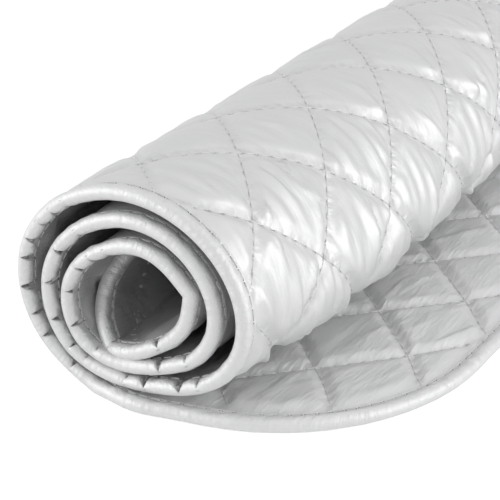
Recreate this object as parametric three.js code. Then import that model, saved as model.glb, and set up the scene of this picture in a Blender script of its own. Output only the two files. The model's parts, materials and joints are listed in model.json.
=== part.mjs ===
// Quilted ironing pad, rolled up with one end lying free on the table. Millimetres, +Z up.
// The pad is drawn flat first. u runs along its length from the free end, v across its width from the
// middle, and h through its thickness, towards the face that turns inwards when the pad is rolled.
// Each piece is then laid along the winding: a flat stretch on the table that goes over into a spiral.
import * as THREE from 'three';
import { mergeVertices } from 'three/addons/utils/BufferGeometryUtils.js';

// Sizes of the flat pad
const padLength = 850;
const padWidth = 480;
const cornerRadius = 86;
const waddingAtSeam = 1.2; // thickness left between the covers along a stitch line
const coverThickness = 0.6;
const tapeThickness = 0.7;
const tapeWidth = 6.5;
const clearance = 0.3; // between pieces that are sewn together, and at each fold line
const foldRoom = 0.9; // between the covers' edges and the fold of the tape round them

// Sizes of the quilting
const quiltDiagonal = 51; // corner to corner of one diamond
const quiltEndMargin = 3.3; // from the free end to the first row of diamond corners
const quiltSideShift = 21.6; // from the middle of the width to a diamond corner in that row
const seamSink = 0.4; // stitch lines below the cover's level at the tape
const crownRise = 1.2; // crowns of the diamonds above that level

// Sizes of the roll and of the free end
const coreRadius = 11;
const turnGap = 3.5; // mean air gap between two turns
const hiddenTurn = 0.9; // turn in radians at the foot of the roll where its quilting doesn't show
const flatUnderRoll = 20.6; // from the last fold line to where the pad lifts off the table
const stripNames = ['tip', 'middle', 'root_side']; // strips of the free end, with a fold line after each

// Shape of the roll: it sags into an egg, and its turns lie closer together where they bear
const squash = { share: 0.092, angle: 3.0 };
const lean = { share: 0.022, angle: 2.8 };
const gapSwing = { share: 0.46, angle: 3.7 };
const gapPinch = { share: -0.39, angle: 0.62 };

// Fineness of the facets
const windingStep = 0.36; // turn in radians between two creases of an inner turn
const cornerSteps = 10;
const pathStep = 0.01;
const sameWithin = 0.0003; // points nearer than this are one

// Levels through the thickness, measured from the middle of the pad
const waddingHalf = waddingAtSeam / 2;
const seamHalf = waddingHalf + clearance + coverThickness;
const coverHalf = seamHalf + seamSink;
const crownHalf = coverHalf + crownRise;
const edgeHalf = coverHalf + clearance + tapeThickness;
const edgeThickness = 2 * edgeHalf;

// Places along the length
const foldSpacing = quiltDiagonal / 2;
const foldLines = stripNames.map((_, i) => quiltEndMargin + foldSpacing * (i + 1));
const liftAt = foldLines.at(-1) + flatUnderRoll;
const coverInset = tapeThickness + foldRoom; // the covers stop this far from the rim, inside the tape
const quiltStep = quiltDiagonal / 4;
const swellFrom = tapeWidth + quiltStep / 4; // the covers lie at the tape's level up to here, then swell
const swellOver = quiltStep / 2;
const leastStep = quiltStep / 6; // no two rows or columns lie nearer than this

// The winding. The roll's radius follows from the length that it has to take up.
const pitch = edgeThickness + turnGap;
const woundLength = padLength - liftAt;
const rollRadius = Math.sqrt((coreRadius + edgeHalf) ** 2 + (pitch * woundLength) / Math.PI) - edgeHalf;
const wave = (shape, times, angle) => shape.share * Math.cos(times * angle - shape.angle);

function windingPoint(angle) {
  const outline = rollRadius * (1 + wave(squash, 2, angle) + wave(lean, 3, angle));
  const gap = turnGap * (1 + wave(gapSwing, 1, angle) + wave(gapPinch, 2, angle));
  const radius = outline - (angle / (2 * Math.PI)) * (edgeThickness + gap);
  return new THREE.Vector2(-radius * Math.sin(angle), -radius * Math.cos(angle));
}

function inwardAt(angle) {
  const ahead = windingPoint(angle + pathStep).sub(windingPoint(angle - pathStep)).normalize();
  return new THREE.Vector2(ahead.y, -ahead.x);
}

const searchSteps = 400;
const searchAngles = Array.from({ length: searchSteps }, (_, i) => i / searchSteps - 0.5);
const lowestOf = (a, b) => (windingPoint(a).y < windingPoint(b).y ? a : b);
const liftAngle = searchAngles.reduce(lowestOf);
const liftPoint = windingPoint(liftAngle);

// Lengths are measured along the outer cover, which lies taut, while the inner one crumples
const stations = [{ angle: liftAngle, length: 0 }];
for (let last = stations[0]; last.length < woundLength + edgeThickness; last = stations.at(-1)) {
  const outer = (angle) => windingPoint(angle).addScaledVector(inwardAt(angle), -edgeHalf);
  const angle = last.angle + pathStep;
  stations.push({ angle, length: last.length + outer(angle).distanceTo(outer(last.angle)) });
}

function angleAt(u) {
  const next = stations.findIndex((station) => station.length >= u - liftAt);
  const [a, b] = [stations[next - 1], stations[next]];
  return a.angle + ((u - liftAt - a.length) / (b.length - a.length)) * (b.angle - a.angle);
}

// Where a point of the flat pad lies on the finished object
function place({ x: u, y: v, z: h }) {
  if (u <= liftAt) {
    return new THREE.Vector3(liftPoint.x + liftAt - u, v, edgeHalf + h);
  }
  const angle = angleAt(u);
  const point = windingPoint(angle).addScaledVector(inwardAt(angle), h);
  return new THREE.Vector3(point.x, v, point.y - liftPoint.y + edgeHalf);
}

// The flat outline: half the width at a distance u, and how far a point lies inside the rim
function halfWidth(u, inset) {
  const past = Math.max(0, cornerRadius - Math.min(u, padLength - u));
  const reach = Math.max(0, (cornerRadius - inset) ** 2 - past ** 2);
  return padWidth / 2 - cornerRadius + (past > 0 ? Math.sqrt(reach) : cornerRadius - inset);
}

function rimDistance(u, v) {
  const along = Math.max(0, cornerRadius - Math.min(u, padLength - u));
  const across = Math.max(0, Math.abs(v) - padWidth / 2 + cornerRadius);
  return cornerRadius - Math.hypot(along, across);
}

// The quilting: seams at 45 degrees, each diamond swelling between them
function puff(u, v) {
  const along = (u - quiltEndMargin) / quiltDiagonal;
  const across = (v - quiltSideShift) / quiltDiagonal;
  return Math.sqrt(Math.abs(Math.sin(Math.PI * (along + across)) * Math.sin(Math.PI * (along - across))));
}

const ramp = (value, length) => THREE.MathUtils.clamp(value / length, 0, 1);

// Level of a quilted cover between two places along the pad, outside which it lies plain
function quiltedLevel(from, to) {
  return (u, v) => {
    const swell = ramp(rimDistance(u, v) - swellFrom, swellOver);
    const stretch = ramp(u - from, quiltStep) * ramp(to - u, quiltStep);
    const full = seamHalf + (crownHalf - seamHalf) * puff(u, v);
    return coverHalf + (full - coverHalf) * swell * stretch;
  };
}

// Level of a cover that lies flat, pressed down to the level of the tape's face
function pressedLevel(u, v) {
  return coverHalf + (edgeHalf - coverHalf) * ramp(rimDistance(u, v) - swellFrom, swellOver);
}

// Columns of a face at one row: its two edges, with the quilt's grid or the tape's line between them
const plainColumns = (u) => [-halfWidth(u, coverInset), halfWidth(u, coverInset)];

function linedColumns(u) {
  const [edge, line] = [halfWidth(u, coverInset), halfWidth(u, swellFrom)];
  return [-edge, -line, line, edge];
}

function pressedColumns(u) {
  const lines = [coverInset, ...[swellFrom, swellFrom + swellOver].filter((inset) => u > inset)];
  const halves = lines.map((inset) => halfWidth(u, inset));
  return [...halves.map((half) => -half), ...halves.reverse()];
}

function quiltColumns(spacing, isOffset) {
  return (u) => {
    const edge = halfWidth(u, coverInset);
    const line = u > swellFrom ? halfWidth(u, swellFrom) : edge;
    const first = quiltSideShift + (isOffset(u) ? spacing / 2 : 0);
    const columns = line < edge ? [-edge, -line] : [-edge];
    const room = line - leastStep;
    for (let i = Math.ceil((-room - first) / spacing); first + i * spacing < room; i += 1) {
      columns.push(first + i * spacing);
    }
    return line < edge ? [...columns, line, edge] : [...columns, edge];
  };
}

const fineColumns = quiltColumns(quiltStep, () => false);
const isBetweenCorners = (u) => Math.abs(Math.round((u - quiltEndMargin) / quiltStep)) % 2 === 1;
const coarseColumns = quiltColumns(2 * quiltStep, isBetweenCorners);

// A closed sheet between two faces, given by rows along the pad, as flat triangles
function sheet(rows, upper, lower) {
  const triangles = [];
  const rowOf = ({ columns, level }, u) => columns(u).map((v) => new THREE.Vector3(u, v, level(u, v)));
  const up = rows.map((u) => rowOf(upper, u));
  const down = rows.map((u) => rowOf(lower, u));
  const flipped = ([a, b, c]) => [a, c, b];
  const height = (a, b) => Math.max(Math.abs(a.z), Math.abs(b.z));

  // Joins two rows of points; where both step on together, the diagonal with the lower ends is taken
  function zip(a, b) {
    const found = [];
    let i = 0;
    let j = 0;
    while (i < a.length - 1 || j < b.length - 1) {
      const nextA = a[i + 1];
      const nextB = b[j + 1];
      const together = nextA && nextB && Math.abs(nextA.y - nextB.y) < clearance;
      const isFirst = together ? height(a[i], nextB) > height(nextA, b[j]) : nextA?.y < nextB?.y;
      const stepA = !nextB || (nextA && isFirst);
      found.push(stepA ? [a[i], b[j], nextA] : [a[i], b[j], nextB]);
      i += stepA ? 1 : 0;
      j += stepA ? 0 : 1;
    }
    return found;
  }

  for (let k = 0; k < rows.length - 1; k += 1) {
    triangles.push(...zip(up[k], up[k + 1]));
    triangles.push(...zip(down[k], down[k + 1]).map(flipped));
    triangles.push([up[k][0], down[k][0], down[k + 1][0]], [up[k][0], down[k + 1][0], up[k + 1][0]]);
    const [a, b, c, d] = [up[k], up[k + 1], down[k + 1], down[k]].map((row) => row.at(-1));
    triangles.push([a, b, c], [a, c, d]);
  }
  triangles.push(...zip(down[0], up[0]));
  triangles.push(...zip(down.at(-1), up.at(-1)).map(flipped));
  return triangles;
}

// Pieces that share creases bend on the same facets: between two creases a point stays on the chord
function placeOnFacets(creases, { x: u, y: v, z: h }) {
  const next = Math.max(1, creases.findIndex((crease) => crease > u - sameWithin));
  const at = (crease) => place(new THREE.Vector3(crease, v, h));
  const share = (u - creases[next - 1]) / (creases[next] - creases[next - 1]);
  return at(creases[next - 1]).lerp(at(creases[next]), share);
}

// Lays flat triangles along the winding. Laying turns the pad over, so the triangles turn round too.
function laid(triangles, creases) {
  const geometry = new THREE.BufferGeometry();
  const points = triangles.flatMap(([a, b, c]) => [a, c, b]);
  geometry.setFromPoints(points.map((point) => placeOnFacets(creases, point)));
  return mergeVertices(geometry, sameWithin);
}

// The edge tape: its folded section, and the stations that it is carried through. A station turns a
// corner of the section, its distance inside the rim and its level, into a point of the flat pad.
const tapeRound = tapeThickness + clearance;
const tapeSlot = edgeHalf - tapeThickness;
const tapeUpper = [[tapeWidth, edgeHalf], [tapeRound, edgeHalf], [0, edgeHalf / 2]];
const tapeUnder = tapeUpper.map(([inset, h]) => [inset, -h]).reverse();
const tapeInside = [
  [tapeWidth, -tapeSlot],
  [tapeThickness, -tapeSlot],
  [tapeThickness, tapeSlot],
  [tapeWidth, tapeSlot],
];
const tapeSection = [...tapeUpper, ...tapeUnder, ...tapeInside];

const acrossStation = (u, side) => ([inset, h]) => new THREE.Vector3(u, side * halfWidth(u, inset), h);

// A corner's stations turn from the side of the pad to its end: turn runs from 0 to a quarter circle
const cornerStation = (end, side, turn) => ([inset, h]) => {
  const reach = cornerRadius - inset;
  const along = padLength / 2 - cornerRadius + reach * Math.sin(turn);
  const across = padWidth / 2 - cornerRadius + reach * Math.cos(turn);
  return new THREE.Vector3(padLength / 2 + end * along, side * across, h);
};

function tape(stations) {
  const sections = stations.map((station) => tapeSection.map(station));
  const walls = sections.slice(1).flatMap((next, i) => {
    const ring = sections[i];
    return ring.flatMap((point, j) => {
      const k = (j + 1) % ring.length;
      return [[point, next[k], next[j]], [point, ring[k], next[k]]];
    });
  });
  const corners = tapeSection.map(([inset, h]) => new THREE.Vector2(inset, h));
  const faces = THREE.ShapeUtils.triangulateShape(corners, []);
  const first = faces.map(([a, b, c]) => [sections[0][a], sections[0][c], sections[0][b]]);
  const last = faces.map(([a, b, c]) => [sections.at(-1)[a], sections.at(-1)[b], sections.at(-1)[c]]);
  return [...walls, ...first, ...last];
}

// Splits flat triangles where they cross the line u = row, so that they can bend there
function creased(triangles, row) {
  const sideOf = ({ x: u }) => (Math.abs(u - row) < sameWithin ? 0 : Math.sign(u - row));
  return triangles.flatMap((triangle) => {
    const sides = triangle.map(sideOf);
    if (!sides.includes(1) || !sides.includes(-1)) {
      return [triangle];
    }
    const before = [];
    const beyond = [];
    triangle.forEach((point, i) => {
      const next = triangle[(i + 1) % 3];
      if (sides[i] <= 0) before.push(point);
      if (sides[i] >= 0) beyond.push(point);
      if (sides[i] * sides[(i + 1) % 3] < 0) {
        const [low, high] = point.x < next.x ? [point, next] : [next, point];
        const cut = low.clone().lerp(high, (row - low.x) / (high.x - low.x)).setX(row);
        before.push(cut);
        beyond.push(cut);
      }
    });
    const fan = (points) => points.slice(2).map((point, i) => [points[0], points[i + 1], point]);
    return [...fan(before), ...fan(beyond)];
  });
}

// Rows along the pad that all pieces of one stretch share, none too near its neighbour
function rowsBetween(from, to, wanted) {
  const rows = [from];
  wanted.sort((a, b) => a - b).forEach((row) => {
    if (row > rows.at(-1) + leastStep && row < to - leastStep) rows.push(row);
  });
  return [...rows, to];
}

function quiltRows(to) {
  return Array.from({ length: Math.floor(to / quiltStep) }, (_, i) => quiltEndMargin + i * quiltStep);
}

const quarterTurn = (steps) => Array.from({ length: steps + 1 }, (_, i) => (Math.PI / 2) * (i / steps));
const cornerTurns = quarterTurn(cornerSteps);
const coverCorner = cornerRadius - coverInset;
const cornerRows = quarterTurn(2 * cornerSteps).map((turn) => cornerRadius - coverCorner * Math.cos(turn));

// The visible turn is quilted from where it leaves the table to where it goes in under itself
const lengthAt = (angle) => liftAt + stations.find((station) => station.angle >= angle).length;
const quiltFrom = lengthAt(liftAngle + hiddenTurn);
const quiltTo = lengthAt(2 * Math.PI - hiddenTurn);
const windingRows = [];
for (let angle = 2 * Math.PI; angle < angleAt(padLength); angle += windingStep) {
  windingRows.push(lengthAt(angle));
}

// Materials
const silverCloth = new THREE.MeshStandardMaterial({ color: 0xd9dadb, roughness: 0.4, metalness: 0.35 });
const greyCloth = new THREE.MeshStandardMaterial({ color: 0xb9bbbd, roughness: 0.6, metalness: 0.15 });
const silverTape = new THREE.MeshStandardMaterial({ color: 0xcdcfd0, roughness: 0.5, metalness: 0.2 });
const fibre = new THREE.MeshStandardMaterial({ color: 0xf2f0ea, roughness: 0.95, metalness: 0 });

const pad = new THREE.Group();

function addPiece(name, triangles, creases, material) {
  const mesh = new THREE.Mesh(laid(triangles, creases), material);
  mesh.name = name;
  pad.add(mesh);
}

// A cover or the wadding lies under its neighbour by the cover's thickness and the clearance
const faceOf = (side, columns, level, under) => ({ columns, level: (u, v) => side * (level(u, v) - under) });
const underCover = coverThickness;
const underWadding = coverThickness + clearance;

function addLayers(prefix, rows, inner, outer) {
  const innerFace = (columns, under) => faceOf(1, columns, inner.level, under);
  const outerFace = (columns, under) => faceOf(-1, columns, outer.level, under);
  const innerCover = sheet(rows, innerFace(inner.shown, 0), innerFace(inner.hidden, underCover));
  const outerCover = sheet(rows, outerFace(outer.hidden, underCover), outerFace(outer.shown, 0));
  const wadding = sheet(rows, innerFace(inner.hidden, underWadding), outerFace(outer.hidden, underWadding));
  addPiece(`${prefix}_outer_cover`, outerCover, rows, silverCloth);
  addPiece(`${prefix}_wadding`, wadding, rows, fibre);
  addPiece(`${prefix}_inner_cover`, innerCover, rows, greyCloth);
}

const quiltedTop = { shown: fineColumns, hidden: coarseColumns };
const pressedUnder = { shown: pressedColumns, hidden: pressedColumns, level: pressedLevel };

// The free end: strips between the fold lines, the last one with the rounded end of the pad
foldLines.forEach((line, i) => {
  const from = i === 0 ? coverInset : foldLines[i - 1] + clearance / 2;
  const to = line - clearance / 2;
  const rows = rowsBetween(from, to, [...quiltRows(to), ...cornerRows]);
  const top = { ...quiltedTop, level: quiltedLevel(-quiltStep, padLength) };
  addLayers(`free_end_${stripNames[i]}`, rows, top, pressedUnder);
  if (i === 0) {
    const leastTurn = Math.asin((cornerRadius - to) / (cornerRadius - tapeWidth)) + cornerTurns[1] / 2;
    const turns = cornerTurns.filter((turn) => turn > leastTurn);
    const farCorner = turns.map((turn) => cornerStation(-1, 1, turn));
    const nearCorner = turns.map((turn) => cornerStation(-1, -1, turn)).reverse();
    addPiece(
      'free_end_tip_tape',
      tape([acrossStation(to, 1), ...farCorner, ...nearCorner, acrossStation(to, -1)]),
      [0, to],
      silverTape,
    );
  } else {
    const near = rows.map((row) => acrossStation(row, -1));
    const far = rows.map((row) => acrossStation(row, 1)).reverse();
    addPiece(`free_end_${stripNames[i]}_near_tape`, tape(near), rows, silverTape);
    addPiece(`free_end_${stripNames[i]}_far_tape`, tape(far), rows, silverTape);
  }
});

// The roll, from the last fold line to the end of the pad in its core
const rollFrom = foldLines.at(-1) + clearance / 2;
const rollTo = padLength - coverInset;
const rollRows = rowsBetween(rollFrom, rollTo, [liftAt, ...quiltRows(quiltTo + quiltStep), ...windingRows]);

const isQuiltedOutside = (u) => u > quiltFrom && u < quiltTo;
const isOnTable = (u) => u <= liftAt;
const quiltedOutside = quiltedLevel(quiltFrom, quiltTo);
const outsideLevel = (u, v) => (isOnTable(u) ? pressedLevel(u, v) : quiltedOutside(u, v));
const restColumns = (u) => (u > quiltTo + quiltStep ? plainColumns(u) : linedColumns(u));
const outsideColumns = (columns) => (u) => {
  if (isOnTable(u)) return pressedColumns(u);
  return isQuiltedOutside(u) ? columns(u) : restColumns(u);
};
const insideColumns = (columns) => (u) => (isOnTable(u) ? columns(u) : restColumns(u));
addLayers(
  'roll',
  rollRows,
  { shown: insideColumns(fineColumns), hidden: insideColumns(coarseColumns), level: quiltedLevel(0, liftAt) },
  { shown: outsideColumns(fineColumns), hidden: outsideColumns(coarseColumns), level: outsideLevel },
);

const sideRows = rollRows.filter((row) => row < padLength - cornerRadius);
const coreCorner = (side) => cornerTurns.map((turn) => cornerStation(1, side, turn));
const flatTape = tape([
  ...sideRows.map((row) => acrossStation(row, -1)),
  ...coreCorner(-1),
  ...coreCorner(1).reverse(),
  ...sideRows.map((row) => acrossStation(row, 1)).reverse(),
]);
addPiece('roll_tape', rollRows.reduce(creased, flatTape), [...rollRows, padLength], silverTape);

// The least gap between one turn of the roll and the next, edge tape to edge tape
const gapStride = 10;
const sampled = stations.filter((_, i) => i % gapStride === 0);
const gaps = sampled.flatMap(({ angle }) => {
  const under = windingPoint(angle).addScaledVector(inwardAt(angle), edgeHalf);
  const inside = sampled.filter((station) => station.angle > angle + Math.PI);
  return inside.map(({ angle: next }) => {
    const over = windingPoint(next).addScaledVector(inwardAt(next), -edgeHalf);
    return under.distanceTo(over);
  });
});
console.log(`least gap between turns ${Math.min(...gaps).toFixed(2)} mm`);

export default pad;
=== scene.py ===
import json
import math

import bmesh
import bpy
import numpy as np
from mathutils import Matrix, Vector


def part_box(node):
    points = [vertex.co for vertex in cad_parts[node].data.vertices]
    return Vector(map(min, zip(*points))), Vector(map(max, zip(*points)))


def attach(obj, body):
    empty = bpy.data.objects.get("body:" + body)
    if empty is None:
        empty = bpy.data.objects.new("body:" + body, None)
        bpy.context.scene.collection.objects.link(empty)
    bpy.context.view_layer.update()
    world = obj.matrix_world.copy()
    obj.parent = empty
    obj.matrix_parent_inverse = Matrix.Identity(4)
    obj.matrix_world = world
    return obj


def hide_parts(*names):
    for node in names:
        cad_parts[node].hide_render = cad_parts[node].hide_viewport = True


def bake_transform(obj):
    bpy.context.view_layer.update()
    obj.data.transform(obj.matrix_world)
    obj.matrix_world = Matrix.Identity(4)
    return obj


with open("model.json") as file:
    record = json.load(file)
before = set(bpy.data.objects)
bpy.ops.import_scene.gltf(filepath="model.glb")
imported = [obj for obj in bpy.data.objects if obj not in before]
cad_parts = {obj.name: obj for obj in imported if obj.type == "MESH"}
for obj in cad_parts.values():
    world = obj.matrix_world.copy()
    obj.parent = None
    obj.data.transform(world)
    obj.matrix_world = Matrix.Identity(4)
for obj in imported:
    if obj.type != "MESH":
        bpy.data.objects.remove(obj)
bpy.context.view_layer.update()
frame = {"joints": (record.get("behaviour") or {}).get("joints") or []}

# Camera at the photograph's view
cameraView = {
    "at": (0.29383, -0.65102, 0.31226),
    "turn": 31.06,  # degrees to the left of straight along the roll
    "tilt": 26.28,  # degrees down
    "lens": 119.7,
    "sensor": 36.0,
}

cameraData = bpy.data.cameras.new("photoCamera")
cameraData.lens = cameraView["lens"]
cameraData.sensor_width = cameraView["sensor"]
camera = bpy.data.objects.new("photoCamera", cameraData)
camera.location = cameraView["at"]
camera.rotation_euler = (math.radians(90 - cameraView["tilt"]), 0, math.radians(cameraView["turn"]))
bpy.context.scene.collection.objects.link(camera)
bpy.context.scene.camera = camera
print("camera set")

# The pad drawn flat: u along it from the free end, v across it, h through it towards the inner cover
pad = {
    "length": 0.850,
    "width": 0.480,
    "corner": 0.086,
    "edgeHalf": 0.0029,  # half the thickness of the bound edge
    "tapeWidth": 0.0065,
    "inTape": 0.0019,  # level of the covers inside the tape
    "atSeam": 0.0011,  # level of the covers along a quilting seam
    "liftAt": 0.1004,  # from the free end to where the pad leaves the table
    "tableGap": 0.0001,  # between the underside's cloth and the table
}

# The roll's winding, as the solids have it
roll = {
    "core": 0.011,
    "turnGap": 0.0035,
    "squash": (0.092, 2, 3.0),  # share, waves in a turn, angle
    "lean": (0.022, 3, 2.8),
    "gapSwing": (0.46, 1, 3.7),
    "gapPinch": (-0.39, 2, 0.62),
    "step": 0.01,  # radians between the points of the path
    "turns": 3.8,  # the path goes on this far, past the end in the core
    "footReach": 0.5,  # the foot is looked for within these angles, in so many steps
    "footSteps": 400,
    "creases": [  # turns from the table, push outwards, reach and softness in radians
        (0.27, 0.0028, 0.50, 0.30),
        (1.13, 0.0010, 0.25, 0.05),
        (2.13, 0.0012, 0.25, 0.05),
        (2.700, 0.0030, 0.22, 0.03),
        (3.085, 0.0045, 0.22, 0.03),
        (3.290, 0.0075, 0.65, 0.35),
    ],
    "bulge": (0.0065, 5.00, 0.45),  # how far the outer turn stands off low on the right, angle, reach
    "bulgeFrom": (0.008, 0.070),  # distance from the sides over which the bulge grows
    "bulgeAlong": (-0.17, 0.05),  # along the roll, where it fades
    "hang": (0.0017, 0.33, 0.27),  # the same low on the left, where that turn hangs away
    "hangAlong": (-0.20, 0.12),
    "forward": (0.0035, 0.098, 0.014),  # how far the near side stands forward there, place, reach
    "askew": 0.0042,  # by how much the free end's rim is drawn in on the near side
    "askewTo": (0.0066, 0.034),  # distance from the rim over which that fades
    "nearSide": (-0.10, 0.20),  # from the middle of the width, where both grow
}

fullTurn = 2 * math.pi
woundLength = pad["length"] - pad["liftAt"]
turnPitch = 2 * pad["edgeHalf"] + roll["turnGap"]
coreMiddle = roll["core"] + pad["edgeHalf"]
rollRadius = math.sqrt(coreMiddle ** 2 + turnPitch * woundLength / math.pi) - pad["edgeHalf"]


def smooth(value, low, high):
    t = np.clip((value - low) / (high - low), 0, 1)
    return t * t * (3 - 2 * t)


def wave(name, angle):
    share, times, turned = roll[name]
    return share * np.cos(times * angle - turned)


def windingPoint(angle):
    outline = rollRadius * (1 + wave("squash", angle) + wave("lean", angle))
    gap = roll["turnGap"] * (1 + wave("gapSwing", angle) + wave("gapPinch", angle))
    radius = outline - angle / fullTurn * (2 * pad["edgeHalf"] + gap)
    for turns, push, reach, soft in roll["creases"]:
        away = np.hypot(angle - fullTurn * turns, soft)
        radius = radius + push * np.exp(-away / reach)
    return np.stack([-radius * np.sin(angle), -radius * np.cos(angle)], -1)


def inwardAt(angle):
    ahead = windingPoint(angle + roll["step"]) - windingPoint(angle - roll["step"])
    ahead /= np.linalg.norm(ahead, axis=-1, keepdims=True)
    return np.stack([ahead[..., 1], -ahead[..., 0]], -1)


def runLengths(points):
    return np.concatenate([[0], np.cumsum(np.linalg.norm(np.diff(points, axis=0), axis=1))])


footAngles = np.arange(roll["footSteps"]) / roll["footSteps"] - roll["footReach"]
liftAngle = footAngles[np.argmin(windingPoint(footAngles)[:, 1])]
liftPoint = windingPoint(liftAngle)
pathAngles = np.arange(liftAngle, fullTurn * roll["turns"], roll["step"])
outerPath = windingPoint(pathAngles) - pad["edgeHalf"] * inwardAt(pathAngles)
pathLengths = runLengths(outerPath)


def angleAt(u):
    return np.interp(u - pad["liftAt"], pathLengths, pathAngles)


def lengthAt(angle):
    return pad["liftAt"] + np.interp(angle, pathAngles, pathLengths)


def pushed(name, at):
    push, middle, reach = roll[name]
    return push * np.exp(-((at - middle) / reach) ** 2)


# From the flat pad to the rolled one
def place(u, v, h):
    u, v, h = np.broadcast_arrays(u, v, h)
    angle = angleAt(u)
    sag = pushed("bulge", angle) * (1 - smooth(v, *roll["bulgeAlong"]))
    sag = sag * smooth(pad["width"] / 2 - np.abs(v), *roll["bulgeFrom"])
    sag = sag + pushed("hang", angle) * (1 - smooth(v, *roll["hangAlong"]))
    wound = windingPoint(angle) + (h - sag)[..., None] * inwardAt(angle)
    onTable = u <= pad["liftAt"]
    near = smooth(-v, *roll["nearSide"])
    x = np.where(onTable, liftPoint[0] + pad["liftAt"] - u, wound[..., 0])
    atRim = 1 - smooth(rimDistance(u, v), *roll["askewTo"])
    x = x - roll["askew"] * (near * np.clip(1 - u / pad["liftAt"], 0, 1) * atRim)
    y = v - near * pushed("forward", u)
    z = np.where(onTable, 0, wound[..., 1] - liftPoint[1] + pad["edgeHalf"])
    return np.stack([x, y, np.maximum(z, pad["edgeHalf"] + h)], -1)


def halfWidth(u, inset):
    past = np.maximum(0, pad["corner"] - np.minimum(u, pad["length"] - u))
    reach = np.sqrt(np.maximum(0, (pad["corner"] - inset) ** 2 - past ** 2))
    return pad["width"] / 2 - pad["corner"] + np.where(past > 0, reach, pad["corner"] - inset)


def rimDistance(u, v):
    along = np.maximum(0, pad["corner"] - np.minimum(u, pad["length"] - u))
    across = np.maximum(0, np.abs(v) - pad["width"] / 2 + pad["corner"])
    return pad["corner"] - np.hypot(along, across)


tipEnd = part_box("free_end_tip_tape")[1].x
foldLines = sorted(tipEnd - joint["pos_m"][0] for joint in frame["joints"])
print("winding laid: end in the core at", round(float(angleAt(pad["length"]) / fullTurn), 2), "turns")

# Quilting: seams at 45 degrees, with cloth cells that have the seams on their diagonals
quilt = {
    "diagonal": 0.051,
    "endMargin": 0.0033,  # first row of diamond corners from the free end
    "sideShift": 0.0159,  # a diamond corner of that row from the middle of the width
    "cells": 20,  # cells along half a diagonal
    "groove": 0.0011,  # how far from a seam the cloth still dips towards it
    "unevenGroove": 0.35,
    "dome": 0.40,  # share of a diamond's rise that is spread over its whole width
    "stitchRows": 3,  # rows of cloth cells that a stitch spans
    "bead": 0.00042,  # rise of the cloth under the middle of a stitch
    "coverEdge": 0.0015,  # the covers stop this far inside the rim, in the tape
    "swellFrom": 0.0066,
    "swellTo": 0.0130,
    "unevenFill": (0.80, 1.12),  # least and most filling of a diamond
    "fillTable": 64,  # diamonds each way before the filling repeats
    "unevenCells": (5, 5),  # size of the unevenness along the seams, in cells
    "puckerCells": (1, 1),  # size of the gathers beside a seam, in cells
    "puckerReach": 0.0045,
    "puckerFrom": 0.002,  # from the seam, where they are full
    "tapePuckerReach": 0.006,
    "tapePuckerFrom": 0.0015,
    "gatherLines": (6, 14),  # fine gathers across and along a seam for each diamond
    "seamNumbers": (-40, 60),  # more than the seams that cross the pad
    "onSeam": 1e-5,
}
cell = quilt["diagonal"] / 2 / quilt["cells"]
foldRows = [int(round((line - quilt["endMargin"]) / cell)) for line in foldLines]
lastRow = int((pad["length"] - quilt["coverEdge"] - quilt["endMargin"]) / cell)
sideColumns = np.arange(
    math.ceil((-pad["width"] / 2 + quilt["coverEdge"] - quilt["sideShift"]) / cell),
    math.floor((pad["width"] / 2 - quilt["coverEdge"] - quilt["sideShift"]) / cell) + 1,
)


def diamondAt(u, v):
    along = (u - quilt["endMargin"]) / quilt["diagonal"]
    across = (v - quilt["sideShift"]) / quilt["diagonal"]
    return along + across, along - across


def seamDistances(u, v):
    return [np.abs(a - np.round(a)) * quilt["diagonal"] / math.sqrt(2) for a in diamondAt(u, v)]


def puff(u, v, uneven=0, groove=quilt["groove"]):
    fromA, fromB = seamDistances(u, v)
    reach = groove * np.exp(quilt["unevenGroove"] * uneven)
    a, b = diamondAt(u, v)
    dome = np.sqrt(np.abs(np.sin(math.pi * a) * np.sin(math.pi * b)))
    spread = 1 - quilt["dome"] + quilt["dome"] * dome
    return (1 - np.exp(-fromA / reach)) * (1 - np.exp(-fromB / reach)) * spread


def onSeam(u, v):
    return np.minimum(*seamDistances(u, v)) < quilt["onSeam"]


def seamBeads(u):
    row = np.round((u - quilt["endMargin"]) / cell)
    return quilt["bead"] * (row % quilt["stitchRows"] > 0)


def softNoise(shape, reach, seed):
    noise = np.random.default_rng(seed).normal(0, 1, shape)
    for axis, cells in enumerate(reach):
        noise = np.moveaxis(noise, axis, 0)
        for _ in range(2 * cells * cells):
            noise[1:-1] = (noise[:-2] + 2 * noise[1:-1] + noise[2:]) / 4
        noise = np.moveaxis(noise, 0, axis)
    return noise / noise.std()


def puckers(u, v, seed):
    fromSeam = np.minimum(*seamDistances(u, v))
    fromTape = rimDistance(u, v) - pad["tapeWidth"]
    near = np.exp(-fromSeam / quilt["puckerReach"]) * smooth(fromSeam, 0, quilt["puckerFrom"])
    atTape = np.exp(-np.abs(fromTape) / quilt["tapePuckerReach"])
    atTape = atTape * smooth(fromTape, 0, quilt["tapePuckerFrom"])
    return np.maximum(near, atTape) * softNoise(u.shape, quilt["puckerCells"], seed)


def diamondFilling(u, v, seed):
    size = quilt["fillTable"]
    shares = np.random.default_rng(seed).uniform(*quilt["unevenFill"], (size, size))
    a, b = (np.floor(number + quilt["onSeam"]).astype(int) % size for number in diamondAt(u, v))
    return shares[a, b]


# Cloth settling: seams and tape hold the cover, the wadding lifts it, its slack buckles into wrinkles
settling = {
    "rounds": 200,
    "spring": 0.35,
    "shear": 0.4,
    "lift": 0.005,
    "uneven": 0.38,  # how much the slack differs from place to place
    "unevenCells": (4, 4),
    "spare": (0.2, 1.7),  # least and most of it
    "startShare": 0.7,  # of the filling, before the cloth settles
    "startNoise": 0.0003,
    "floor": -0.0002,  # how far the cloth may sink under the level of the seams
}


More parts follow.
